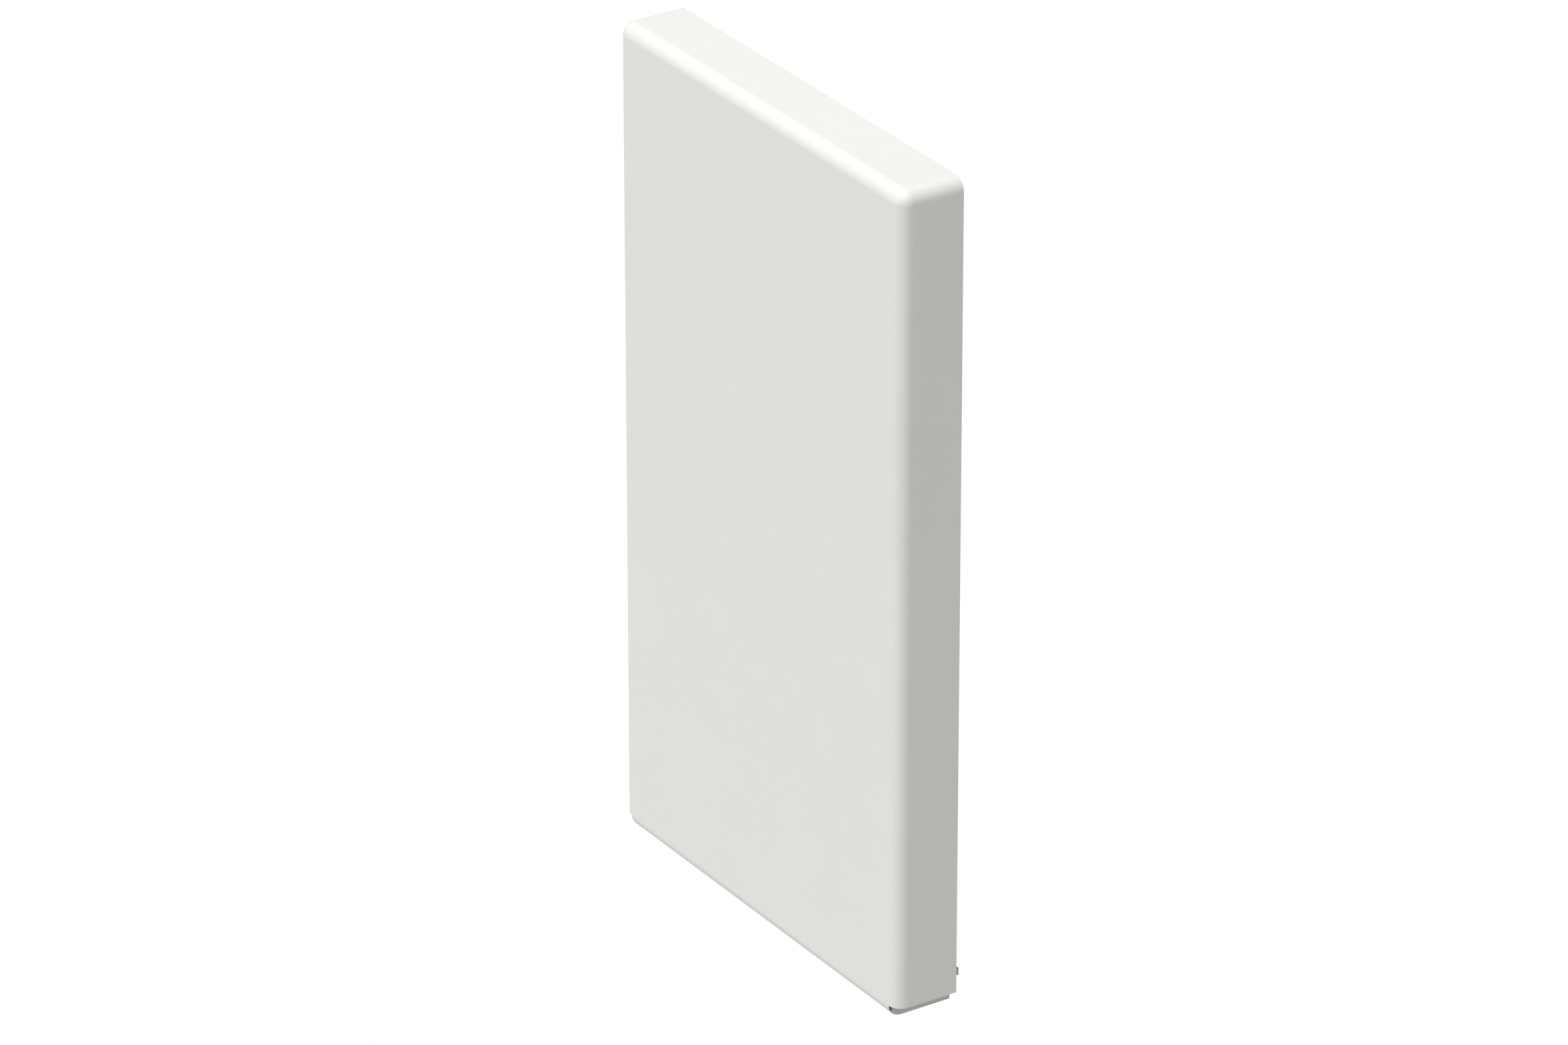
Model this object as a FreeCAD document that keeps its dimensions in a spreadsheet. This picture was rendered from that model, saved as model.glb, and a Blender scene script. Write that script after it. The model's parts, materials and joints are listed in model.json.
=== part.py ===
import FreeCAD, Part
import math
import os
import re
import Sketcher

# Wall-hung household battery: a slim white sheet-metal cover over a grey sealed case
# that holds two battery modules and a wiring bay, hung on a rail screwed to the wall.
# Millimetres. +X is the unit's right side, -Y its front, +Z up. The wall plane is y = 0
# and the origin is the centre of the four wall holes. In the formulas below every
# height is measured from the lowest edge of the cover.

SIZES = {
    # cover
    "cover_width": (660, "white cover, side to side"),
    "cover_height": (1176, "white cover, bottom to top"),
    "cover_depth": (93, "white cover, front to rear edge"),
    "edge_radius": (18, "outside bend of the cover's edges"),
    "relief_gap": (0.4, "notch at the cover's lower corners, beyond the bend"),
    "cover_wall": (1.5, "sheet of the cover"),
    "flange_depth": (12, "return flange under the cover"),
    # wall side
    "wall_gap": (16, "space between the wall and the cover's rear edge"),
    "wall_hole_span": (400, "wall holes, side to side"),
    "rail_drop": (119, "upper wall holes below the cover's top"),
    "wall_hole_radius": (3.3, "wall holes"),
    "lower_hole_height": (57, "lower wall holes above the cover's lowest edge"),
    "lower_bar_height": (31, "underside of the lower bar"),
    "lower_bar_size": (10, "height of the lower bar"),
    "lower_bar_inset": (18.5, "lower bar's end, in from the cover's side"),
    "rail_length": (520, "upper rail"),
    "rail_sheet": (3, "sheet of the rail, hooks and back plate"),
    "rail_face": (50, "height of the rail's wall face"),
    "lip_air": (1, "between the rail's lip and the rivet heads behind it"),
    "lip_rise": (20, "rail's lip above its shelf"),
    "hook_width": (60, "each hanging hook"),
    "hook_span": (260, "hanging hooks, centre to centre"),
    "hook_slack": (0.5, "gap between a hook's finger and the lip"),
    "hook_foot": (12, "hook below the middle of the rail"),
    "rest_gap": (0.5, "between the lower bar and the battery"),
    "ear_width": (40, "ears of the lower bar"),
    "bar_cap": (3, "end caps of the lower bar"),
    "rivet_radius": (3, "hook rivets"),
    "rivet_head": (2, "height of a rivet head"),
    "hatch_head": (2, "height of a wiring cover screw's head"),
    "bolt_head": (3, "height of a module bolt's head"),
    "clamp_head": (6, "height of a clamping screw's head"),
    "hole_gap": (0.2, "around screws, rivets and threads"),
    # sealed case
    "case_inset": (15.5, "case side and top, in from the cover"),
    "case_front_gap": (8.3, "case front behind the cover's front"),
    "case_floor": (2, "case underside above the cover's lowest edge"),
    "lip_clearance": (0.7, "case's square corner to the mitred end of the cover's lip"),
    "bend_step": (9, "outside bend of the case, less than the cover's"),
    "case_wall": (2, "sheet of the case"),
    "ledge_width": (10, "ledge behind the case gasket"),
    "gasket_thickness": (2, "both gaskets"),
    "fit_gap": (0.4, "clearance around pieces that go into the case"),
    # modules
    "module_side_gap": (27.5, "module to the case's side wall"),
    "module_top_gap": (20.5, "upper module to the case's top wall"),
    "module_front_gap": (14.7, "cells to the case's front wall"),
    "cell_gap": (2, "between two cells"),
    "bay_height": (246, "wiring bay, floor to the lower module"),
    "module_gap": (20, "between the two modules"),
    "row_gap": (18, "room above a row of cells for its terminals"),
    "base_plate": (4, "plate under a module"),
    "end_plate": (12, "plate at each end of a module"),
    "terminal_radius": (7, "cell terminal"),
    "terminal_height": (6, "cell terminal"),
    "busbar_thickness": (2.5, "all copper bars"),
    "bar_width": (16, "copper strips"),
    "bar_air": (1, "between a strap and a copper strip"),
    "plate_edge": (11, "copper plate beyond the middle of a terminal"),
    "strap_sheet": (1.5, "module straps"),
    "strap_width": (20, "module straps"),
    "sense_width": (90, "cell sense board"),
    "bolt_margin": (30, "module bolts from the module's ends"),
    "bolt_radius": (3, "module bolts"),
    # wiring bay
    "board_gap": (12, "control board to its neighbours"),
    "board_air": (24, "control board to the lower module"),
    "board_sheet": (1.6, "all circuit boards"),
    "spacer_height": (12, "board spacers"),
    "fin_height": (26, "heat sink fins"),
    "door_margin": (34.5, "wiring cover to the case's side"),
    "door_height": (196, "wiring cover"),
    "door_overlap": (12, "wiring cover around its opening"),
    "door_clearance": (12, "wiring cover above the cover's bend"),
    "board_low": (72, "control board's lower edge"),
    "board_corner": (8, "middle of a spacer from the board's edges"),
    "spacer_radius": (4, "board spacers"),
    "part_field": (140, "strip of the control board left of its heat sink"),
    "sink_plate": (4, "heat sink's base"),
    "sink_margin": (20, "heat sink from the board's upper and lower edges"),
    "fin_sheet": (2, "heat sink fins"),
    "fuse_height": (84, "lower end of the fuse holder"),
    "fuse_length": (70, "fuse body"),
    "fuse_margin": (15, "fuse holder beyond the fuse body"),
    "blade_length": (16, "fuse blades"),
    "blade_root": (2, "fuse blades inside the body"),
    "fuse_radius": (13, "fuse body"),
    "fuse_base": (38, "depth of the fuse holder"),
    "block_low": (24, "power lead terminals, lower edge"),
    "block_height": (34, "power lead terminals"),
    "block_depth": (44, "power lead terminals"),
    "block_wall": (8, "around the openings of the power lead terminals"),
    "clamp_length": (12, "clamping screws of the power lead terminals"),
    "contactor_height": (150, "middle of the contactors"),
    "contactor_pitch": (78, "between the contactors"),
    "contactor_radius": (27, "main contactors"),
    "post_length": (5.5, "contactor posts"),
    "switch_width": (60, "isolator switch"),
    "switch_depth": (36, "isolator switch"),
    "switch_height": (60, "isolator switch"),
    "shaft_cover": (12, "isolator switch above its shaft's hole"),
    "shaft_spare": (3, "end of the shaft's hole beyond the shaft"),
    "shaft_radius": (4, "isolator shaft"),
    "shaft_fit": (0.05, "around the shaft in its knob"),
    "running_gap": (0.3, "around the shaft and the button"),
    "isolator_margin": (94, "isolator from the case's left side"),
    "button_pitch": (90, "power button from the isolator"),
    "gland_x": (20, "first gland, right of the middle"),
    "ground_pitch": (60, "ground stud from the last gland"),
    "vent_pitch": (46, "pressure vent from the ground stud"),
    "ground_radius": (4, "ground stud"),
    "ground_drop": (18, "ground stud below the case"),
    "ground_rise": (14, "ground stud above the case's underside"),
    "collar": (5, "height of the collars and the gland nuts"),
    "vent_radius": (6, "vent thread"),
    "vent_cap": (4, "height of the vent's cap and nut"),
    "rim": (5, "flanges and nuts beyond their threads"),
    "grip_round": (1.5, "edges of the knob's grip"),
    "barrel_radius": (9, "power button barrel"),
    "barrel_length": (26, "power button barrel"),
    "barrel_flange": (3, "height and width of the button barrel's flange"),
    "gland_drop": (24, "gland below the case"),
    "gland_flange": (6, "height of a gland's flange"),
    "gland_rise": (14, "gland thread above the case's underside"),
    "plug_head": (2, "height and rim of a gland plug's head"),
    "plug_rise": (10, "gland plug above the case's underside"),
    "knob_radius": (19, "isolator knob"),
    "knob_height": (20, "isolator knob, disc and grip"),
    "button_radius": (7, "power button"),
    "button_travel": (2.5, "power button"),
    "gland_bore": (5.5, "cable hole of a gland, radius"),
    "gland_thread": (10, "gland thread, radius"),
    "gland_pitch": (46, "between two glands"),
    "stud_radius": (3, "cover studs"),
    "stud_margin": (40, "cover studs from the cover's edges"),
    "stud_disc": (4, "welded foot of a stud, beyond it"),
    "socket_ring": (5, "socket beyond its stud"),
    "socket_depth": (4, "spring sockets for the studs"),
    "screw_radius": (2.5, "case and cover screws"),
}

# Sizes and places that follow from those above, in the same words.
WORKED_OUT = {
    "cover_rear": "-wall_gap",
    "cover_front": "-(wall_gap + cover_depth)",
    "relief": "edge_radius + relief_gap",
    "lip_half": "cover_width / 2 - relief",
    "case_front": "cover_front + case_front_gap",
    "case_depth": "cover_depth - case_front_gap",
    "case_radius": "edge_radius - bend_step",
    "case_side": "cover_width / 2 - case_inset",
    "case_top": "cover_height - case_inset",
    "floor_top": "case_floor + case_wall",
    "plate_front": "-(wall_gap + rail_sheet)",
    "rail_height": "cover_height - rail_drop",
    "wall_hole_rise": "rail_height - lower_hole_height",
    "shelf_top": "rail_height + rail_face / 2",
    "lip_stand": "wall_gap - rail_sheet - rivet_head - lip_air",
    "lip_top": "shelf_top + lip_rise",
    "door_width": "2 * (case_side - door_margin)",
    "door_start": "edge_radius + door_clearance",
    "hatch_low": "door_start + door_overlap",
    "flange_rear": "cover_front + edge_radius + flange_depth",
    "bottom_row": "(plate_front - gasket_thickness - case_wall + flange_rear) / 2",
    "cells_span": "2 * (case_side - case_wall - module_side_gap - end_plate)",
    "cell_width": "(cells_span - 3 * cell_gap) / 4",
    "cells_back": "plate_front - base_plate",
    "cells_front": "case_front + case_wall + module_front_gap",
    "cells_depth": "cells_back - cells_front",
    "cell_depth": "(cells_depth - cell_gap) / 2",
    "modules_room": "case_top - case_wall - module_top_gap - bay_height - module_gap",
    "cell_height": "modules_room / 4 - row_gap",
    "row_pitch": "cell_height + row_gap",
    "module_height": "2 * row_pitch",
    "frame_height": "module_height - row_gap",
    "bar_front": "cells_front - strap_sheet - bar_air - busbar_thickness",
    "end_terminal": "cells_span / 2 - cell_width / 4",
    "foot_length": "cells_front + cell_depth / 2 - plate_edge - bar_front",
    "contactor_length": "plate_front - bar_front - busbar_thickness - post_length",
    "fuse_x": "end_terminal - 2 * bar_width",
    "fuse_low": "fuse_height + fuse_margin",
    "fuse_top": "fuse_low + fuse_length",
    "board_left": "contactor_pitch - end_terminal + contactor_radius + board_gap",
    "board_width": "fuse_x - bar_width - board_gap - board_left",
    "board_height": "bay_height - board_low - board_air",
    "sink_left": "board_left + part_field",
    "sink_width": "board_width - part_field - 2 * board_corner",
    "shaft_reach": "switch_height - shaft_cover",
    "isolator_x": "isolator_margin - case_side",
    "button_x": "isolator_x + button_pitch",
    "ground_x": "gland_x + 2 * gland_pitch + ground_pitch",
    "vent_x": "ground_x + vent_pitch",
}

doc = FreeCAD.newDocument("wall_battery")
sheet = doc.addObject("Spreadsheet::Sheet", "Sizes")
for row, (alias, (value, note)) in enumerate(SIZES.items(), start=1):
    sheet.set(f"A{row}", note)
    sheet.set(f"B{row}", str(value))
    sheet.setAlias(f"B{row}", alias)
doc.recompute()

PARTS = []
SIDES = (-1, 1)

TURNS = {
    "up": FreeCAD.Rotation(),
    "down": FreeCAD.Rotation(FreeCAD.Vector(1, 0, 0), 180),
    "front": FreeCAD.Rotation(FreeCAD.Vector(1, 0, 0), 90),
    "back": FreeCAD.Rotation(FreeCAD.Vector(1, 0, 0), -90),
    "right": FreeCAD.Rotation(FreeCAD.Vector(0, 1, 0), 90),
}


def named(formula):
    """Point each size word of a formula at its cell and spell out each worked-out word."""
    def spelled(found):
        word = found.group()
        if word in WORKED_OUT:
            return "(" + named(WORKED_OUT[word]) + ")"
        return "Sizes." + word if word in SIZES else word
    return re.sub(r"[a-z_]+", spelled, str(formula))


def bind(item, **formulas):
    for key, formula in formulas.items():
        item.setExpression(key, named(formula))
    return item


def place(item, x=0, y=0, height=0):
    """Put an item at x, y and a height above the cover's lowest edge."""
    item.setExpression(".Placement.Base.x", named(x))
    item.setExpression(".Placement.Base.y", named(y))
    item.setExpression(".Placement.Base.z", named(f"({height}) - lower_hole_height - wall_hole_rise / 2"))
    return item


def part(label, item):
    """Name a finished sub-part."""
    item.Label = label
    PARTS.append(item)
    return item


def box(x, y, height, across, deep, tall):
    """A block from its left, front, lower corner."""
    item = doc.addObject("Part::Box", "Block")
    bind(item, Length=across, Width=deep, Height=tall)
    return place(item, x, y, height)


def rod(x, y, height, radius, length, toward="front"):
    item = doc.addObject("Part::Cylinder", "Rod")
    bind(item, Radius=radius, Height=length)
    item.Placement = FreeCAD.Placement(FreeCAD.Vector(), TURNS[toward])
    return place(item, x, y, height)


def cone(x, y, height, radius, end_radius, length, toward="front"):
    item = doc.addObject("Part::Cone", "Taper")
    bind(item, Radius1=radius, Radius2=end_radius, Height=length)
    item.Placement = FreeCAD.Placement(FreeCAD.Vector(), TURNS[toward])
    return place(item, x, y, height)


def group(pieces):
    item = doc.addObject("Part::Compound", "Group")
    item.Links = pieces
    return item


def fuse(pieces):
    item = doc.addObject("Part::MultiFuse", "Joined")
    item.Shapes = pieces
    item.Refine = True
    return item


def cut(base, tools):
    item = doc.addObject("Part::Cut", "Cut")
    item.Base = base
    item.Tool = group(tools) if len(tools) > 1 else tools[0]
    return item


def screw(x, y, height, toward, radius, shank, head):
    """A round-headed screw seated at a face: its head stands off it, its shank goes in."""
    inward = 1 if toward == "front" else -1
    stem = rod(x, f"({y}) + {inward} * ({shank})", height, radius, shank, toward)
    cap = rod(x, y, height, f"{radius} * 1.9", head, toward)
    return fuse([stem, cap])


def new_body(name):
    body = doc.addObject("PartDesign::Body", name)
    return place(body)


def outline(body, role, offset, points):
    """A closed polygon on one of the body's planes; each point is a pair of formulas."""
    sketch = body.newObject("Sketcher::SketchObject", "Outline")
    plane = [item for item in body.Origin.OriginFeatures if item.Role == role][0]
    sketch.AttachmentSupport = [(plane, "")]
    sketch.MapMode = "FlatFace"
    sketch.setExpression(".AttachmentOffset.Base.z", named(offset))
    count = len(points)
    ring = []
    for step in range(count):
        angle = 2 * math.pi * (step + 0.3) / count
        ring.append(FreeCAD.Vector(20 * math.cos(angle), 20 * math.sin(angle), 0))
    for step in range(count):
        sketch.addGeometry(Part.LineSegment(ring[step], ring[(step + 1) % count]), False)
    for step in range(count):
        sketch.addConstraint(Sketcher.Constraint("Coincident", step, 2, (step + 1) % count, 1))
    for step, (across, up) in enumerate(points):
        for kind, start, formula in (("DistanceX", ring[step].x, across), ("DistanceY", ring[step].y, up)):
            index = sketch.addConstraint(Sketcher.Constraint(kind, -1, 1, step, 1, start))
            sketch.setExpression(f"Constraints[{index}]", named(formula))
    doc.recompute()
    return sketch


def corners(left, right, low, high):
    return [(left, low), (right, low), (right, high), (left, high)]


def pad(body, sketch, length):
    item = body.newObject("PartDesign::Pad", "Pad")
    item.Profile = sketch
    bind(item, Length=length)
    doc.recompute()
    return item


def fillet(body, base, radius, wanted):
    """Round the edges of the base whose box passes the test."""
    names = []
    for number, edge in enumerate(base.Shape.Edges, start=1):
        if wanted(edge.BoundBox):
            names.append(f"Edge{number}")
    item = body.newObject("PartDesign::Fillet", "Fillet")
    item.Base = (base, names)
    bind(item, Radius=radius)
    doc.recompute()
    return item


def near(first, second):
    return abs(first - second) < 0.01


def rounded_block(name, offset, points, length, radius, ends=("top", "bottom"), fronts=("top", "bottom")):
    """A pad towards the front, rounded at the named corners along Y and front edges along X.

    With any front edge named, the two upright front edges are rounded too.
    """
    body = new_body(name)
    slab = pad(body, outline(body, "XZ_Plane", offset, points), length)
    whole = slab.Shape.BoundBox

    def at_level(edge, level):
        if level == "top":
            return near(edge.ZMin, whole.ZMax)
        return near(edge.ZMax, whole.ZMin)

    def wanted(edge):
        at_front = near(edge.YMax, whole.YMin)
        upright = bool(fronts) and at_front and edge.ZLength > whole.ZLength / 2
        level = at_front and any(at_level(edge, front) for front in fronts)
        corner = edge.YLength > 1 and any(at_level(edge, end) for end in ends)
        return upright or level or corner

    fillet(body, slab, radius, wanted)
    return body


def make_cover():
    """White cover: front, sides, top and a return lip, bent from one sheet."""
    side = "cover_width / 2"
    notch = f"({side} - relief)"
    points = [(f"-{notch}", 0), (notch, 0), (notch, "relief"), (side, "relief")]
    points += [(side, "cover_height"), (f"-{side}", "cover_height"), (f"-{side}", "relief")]
    points += [(f"-{notch}", "relief")]
    outside = rounded_block("CoverOutside", "wall_gap", points, "cover_depth", "edge_radius", ["top"])
    inner = f"({side} - cover_wall)"
    room = corners(f"-{inner}", inner, "cover_wall", "cover_height - cover_wall")
    reach = "cover_depth - cover_wall"
    inside = rounded_block("CoverInside", "wall_gap", room, reach, "edge_radius - cover_wall", ["top"])
    open_depth = "cover_depth - edge_radius - flange_depth"
    open_floor = box(f"-{side}", f"-wall_gap - ({open_depth})", "-cover_wall", "cover_width", open_depth,
                     "relief")
    return part("front_cover", cut(cut(outside, [inside]), [open_floor] + [lip_mitre(end) for end in SIDES]))


def lip_mitre(end):
    """What is cut off one end of the cover's lip, so that it ends at 45 degrees."""
    body = new_body("LipMitre")
    across = f"{end} * lip_half"
    run = "(edge_radius + flange_depth + cover_wall)"
    points = [(across, "cover_front"), (f"{end} * (lip_half + 1)", "cover_front")]
    points += [(f"{end} * (lip_half + 1)", f"cover_front + {run}")]
    points += [(f"{end} * (lip_half - {run})", f"cover_front + {run}")]
    pad(body, outline(body, "XY_Plane", "-cover_wall", points), "relief + cover_wall")
    return body


def profile_bar(name, start, points, length):
    """A bar along X with a folded section given in the Y-Z plane."""
    body = new_body(name)
    pad(body, outline(body, "YZ_Plane", start, points), length)
    return body


def make_wall_rail():
    """Z-section rail screwed to the wall; its upturned lip carries the battery's hooks."""
    low = "rail_height - rail_face / 2"
    shelf = "shelf_top - rail_sheet"
    points = [(0, low), ("-rail_sheet", low), ("-rail_sheet", shelf), ("-lip_stand", shelf)]
    points += [("-lip_stand", "lip_top"), ("rail_sheet - lip_stand", "lip_top")]
    points += [("rail_sheet - lip_stand", "shelf_top"), (0, "shelf_top")]
    section = profile_bar("Rail", "-rail_length / 2", points, "rail_length")
    holes = [rod(f"{side} * wall_hole_span / 2", 0, "rail_height", "wall_hole_radius", "2 * rail_sheet")
             for side in SIDES]
    return part("wall_rail", cut(section, holes))


def make_lower_bar():
    """Hollow spacer bar at the foot, with two ears for its wall screws, and its end caps."""
    half = "(cover_width / 2 - lower_bar_inset - bar_cap)"
    depth = "(wall_gap - rest_gap)"
    height = "lower_bar_height"
    wall = "cover_wall"
    tube = box(f"-{half}", f"-{depth}", height, f"2 * {half}", depth, "lower_bar_size")
    top = "(lower_bar_height + lower_bar_size)"
    rise = f"2 * (lower_hole_height - {top})"
    ears = [box(f"{side} * wall_hole_span / 2 - ear_width / 2", "-rail_sheet", f"{top} - {wall}", "ear_width",
                "rail_sheet", f"{rise} + {wall}") for side in SIDES]
    hollow = box(f"-{half}", f"{wall} - {depth}", f"{height} + {wall}", f"2 * {half}",
                 f"{depth} - 2 * {wall}", f"lower_bar_size - 2 * {wall}")
    holes = [rod(f"{side} * wall_hole_span / 2", 0, "lower_hole_height", "wall_hole_radius", "2 * rail_sheet")
             for side in SIDES]
    part("lower_bar", fuse([cut(tube, [hollow]), cut(fuse(ears), holes)]))
    caps = []
    for side in SIDES:
        outer = f"{side} * ({half} + bar_cap / 2) - bar_cap / 2"
        cap = box(outer, f"-{depth}", height, "bar_cap", depth, "lower_bar_size")
        plug = box(f"{side} * ({half} - bar_cap) - bar_cap", f"{wall} + fit_gap - {depth}",
                   f"{height} + {wall} + fit_gap", "2 * bar_cap", f"{depth} - 2 * ({wall} + fit_gap)",
                   f"lower_bar_size - 2 * ({wall} + fit_gap)")
        caps.append(fuse([cap, plug]))
    part("bar_end_caps", group(caps))


def hook_start(side):
    return f"{side} * hook_span / 2 - hook_width / 2"


def make_hooks():
    """Two folded hooks on the back plate that drop over the rail's lip."""
    low = "rail_height - hook_foot"
    rear = "rail_sheet - wall_gap"
    finger = "rail_sheet - lip_stand + hook_slack"
    tip = "shelf_top + lip_rise / 4"
    points = [("cover_rear", low), (rear, low), (rear, "lip_top"), (finger, "lip_top"), (finger, tip)]
    points += [(f"{finger} + rail_sheet", tip), (f"{finger} + rail_sheet", "lip_top + rail_sheet")]
    points += [("cover_rear", "lip_top + rail_sheet")]
    hooks = []
    for side in SIDES:
        section = profile_bar("Hook", hook_start(side), points, "hook_width")
        hooks.append(cut(section, [hook_hole(*spot) for spot in rivet_spots(side)]))
    part("hanging_hooks", group(hooks))
    rivets = []
    for side in SIDES:
        for x, height in rivet_spots(side):
            rivets.append(screw(x, rear, height, "back", "rivet_radius", "2 * rail_sheet", "rivet_head"))
    part("hook_rivets", group(rivets))


def rivet_spots(side):
    spots = []
    for across in SIDES:
        for height in ("rail_height", "shelf_top"):
            spots.append((f"{side} * hook_span / 2 + {across} * hook_width / 4", height))
    return spots


def hook_hole(x, height):
    return rod(x, 0, height, "rivet_radius + hole_gap", "wall_gap + 2 * rail_sheet")


def case_screw_spots():
    """Centres of the screws round the case, halfway across its ledge."""
    side = "(case_side - case_wall - ledge_width / 2)"
    low = "(floor_top + ledge_width / 2)"
    top = "(case_top - case_wall - ledge_width / 2)"
    spots = []
    for share in (0.08, 0.29, 0.5, 0.71, 0.92):
        for end in SIDES:
            spots.append((f"{end} * {side}", f"{low} + {share} * ({top} - {low})"))
    for share in (-0.7, 0, 0.7):
        for height in (low, top):
            spots.append((f"{share} * {side}", height))
    return spots


def screw_holes(spots, y, depth):
    return [rod(x, y, height, "screw_radius + hole_gap", depth) for x, height in spots]


def flush_screw(x, height, shank, spare):
    """A countersunk screw from the rear of the back plate, or with spare its hole."""
    stem = rod(x, "cover_rear", height, f"screw_radius + {spare}", shank, "front")
    head = cone(x, "cover_rear", height, f"screw_radius * 1.9 + {spare}", f"screw_radius + {spare}",
                "screw_radius * 0.9", "front")
    return fuse([stem, head])


def make_back_plate():
    spots = case_screw_spots()
    side = "(case_side - case_wall - fit_gap)"
    low = "floor_top + fit_gap"
    top = "case_top - case_wall - fit_gap"
    plate = rounded_block("BackPlate", "wall_gap", corners(f"-{side}", side, low, top), "rail_sheet",
                          "case_radius - case_wall", fronts=())
    holes = [flush_screw(x, height, "2 * rail_sheet", "hole_gap") for x, height in spots]
    for end in SIDES:
        holes += [hook_hole(*spot) for spot in rivet_spots(end)]
    part("back_plate", cut(plate, holes))
    ring = rounded_block("Gasket", "wall_gap + rail_sheet", corners(f"-{side}", side, low, top),
                         "gasket_thickness", "case_radius - case_wall", fronts=())
    inner = "(case_side - case_wall - ledge_width)"
    window = box(f"-{inner}", "plate_front - 2 * gasket_thickness", "floor_top + ledge_width",
                 f"2 * {inner}", "4 * gasket_thickness", "case_top - floor_top - case_wall - 2 * ledge_width")
    part("case_gasket", cut(cut(ring, [window]), screw_holes(spots, 0, "wall_gap + cover_depth / 2")))
    shank = "rail_sheet + gasket_thickness + case_wall"
    part("case_screws", group([flush_screw(x, height, shank, 0) for x, height in spots]))


def door_screw_spots():
    side = "(door_width - door_overlap) / 2"
    middle = "(door_start + door_height / 2)"
    reach = "(door_height - door_overlap) / 2"
    spots = []
    for share in (-0.6, 0.6):
        spots += [(f"{end} * {side}", f"{middle} + {share} * {reach}") for end in SIDES]
    for share in (-0.8, 0, 0.8):
        spots += [(f"{share} * {side}", f"{middle} + {end} * {reach}") for end in SIDES]
    return spots


def floor_holes():
    """Openings in the case's underside for the pieces that pass through it."""
    sizes = [("isolator_x", "shaft_radius + running_gap"), ("button_x", "barrel_radius + hole_gap")]
    sizes += [(f"gland_x + {number} * gland_pitch", "gland_thread + hole_gap") for number in range(3)]
    sizes += [("ground_x", "ground_radius + hole_gap"), ("vent_x", "vent_radius + hole_gap")]
    start = "case_floor - case_wall"
    return [rod(x, "bottom_row", start, radius, "3 * case_wall", "up") for x, radius in sizes]


def bend_cut():
    """What rounds the case's lower front edge behind the cover's lip, and leaves its ends square."""
    half = "(lip_half - case_front_gap + lip_clearance)"
    bar = box(f"-{half}", "case_front - 1", "case_floor - 1", f"2 * {half}", "case_radius + 1", "case_radius + 1")
    bend = rod(f"-{half}", "case_front + case_radius", "case_floor + case_radius", "case_radius",
               f"2 * {half}", "right")
    return cut(bar, [bend])


def make_case():
    """Sealed case: a deep-drawn shell, open at the back, with a ledge for its gasket."""
    shell = corners("-case_side", "case_side", "case_floor", "case_top")
    outside = rounded_block("CaseOutside", "wall_gap", shell, "case_depth", "case_radius", ["top"], ["top"])
    inner = "(case_side - case_wall)"
    room = corners(f"-{inner}", inner, "floor_top", "case_top - case_wall")
    seat_depth = "(rail_sheet + gasket_thickness)"
    start = f"wall_gap + {seat_depth} + case_wall"
    reach = f"case_depth - {seat_depth} - 2 * case_wall"
    inside = rounded_block("CaseInside", start, room, reach, "case_radius - case_wall")
    seat = rounded_block("CaseSeat", "wall_gap", room, seat_depth, "case_radius - case_wall", fronts=())
    throat = f"({inner} - ledge_width)"
    neck = box(f"-{throat}", f"-({start})", "floor_top + ledge_width", f"2 * {throat}", start,
               "case_top - floor_top - case_wall - 2 * ledge_width")
    hatch = box("-door_width / 2 + door_overlap", "case_front - case_wall", "hatch_low",
                "door_width - 2 * door_overlap", "3 * case_wall", "door_height - 2 * door_overlap")
    hollowed = cut(cut(outside, [bend_cut()]), [fuse([inside, seat, neck, hatch])])
    holes = screw_holes(case_screw_spots(), 0, "wall_gap + cover_depth / 2")
    holes += screw_holes(door_screw_spots(), "case_front + 2 * case_wall", "4 * case_wall")
    return part("inner_case", cut(hollowed, holes + floor_holes()))


def make_wiring_cover():
    """Screwed plate over the wiring bay with its gasket."""
    spots = door_screw_spots()
    seal_front = "(case_front - gasket_thickness)"
    seal = box("-door_width / 2", seal_front, "door_start", "door_width", "gasket_thickness", "door_height")
    window = box("door_overlap - door_width / 2", f"{seal_front} - gasket_thickness", "hatch_low",
                 "door_width - 2 * door_overlap", "3 * gasket_thickness", "door_height - 2 * door_overlap")
    holes = screw_holes(spots, "case_front + case_wall", "4 * case_wall")
    part("wiring_gasket", cut(cut(seal, [window]), holes))
    plate = box("-door_width / 2", f"{seal_front} - cover_wall", "door_start", "door_width", "cover_wall",
                "door_height")
    part("wiring_cover", cut(plate, holes))
    shank = "gasket_thickness + cover_wall + case_wall"
    screws = [screw(x, f"{seal_front} - cover_wall", height, "front", "screw_radius", shank,
                    "hatch_head")
              for x, height in spots]
    part("wiring_cover_screws", group(screws))


def stud_spots():
    heights = ("door_start + door_height + stud_margin", "cover_height / 2 + stud_margin",
               "cover_height - 2 * stud_margin")
    return [(f"{side} * (cover_width / 2 - 2 * stud_margin)", height) for side in SIDES for height in heights]


def make_studs():
    """Studs welded inside the cover and the spring sockets that hold them."""
    skin = "(cover_front + cover_wall)"
    length = "(case_front_gap - cover_wall)"
    studs = []
    sockets = []
    for x, height in stud_spots():
        stem = rod(x, skin, height, "stud_radius", f"{length} - hook_slack", "back")
        disc = rod(x, skin, height, "stud_radius + stud_disc", "cover_wall", "back")
        studs.append(fuse([stem, disc]))
        ring = rod(x, "case_front", height, "stud_radius + socket_ring", "socket_depth", "front")
        bore = rod(x, "case_front", height, "stud_radius + running_gap", "2 * socket_depth", "front")
        sockets.append(cut(ring, [bore]))
    part("cover_studs", group(studs))
    part("stud_sockets", group(sockets))


def module_start(number):
    return f"(bay_height + {number} * (module_height + module_gap))"


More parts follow.
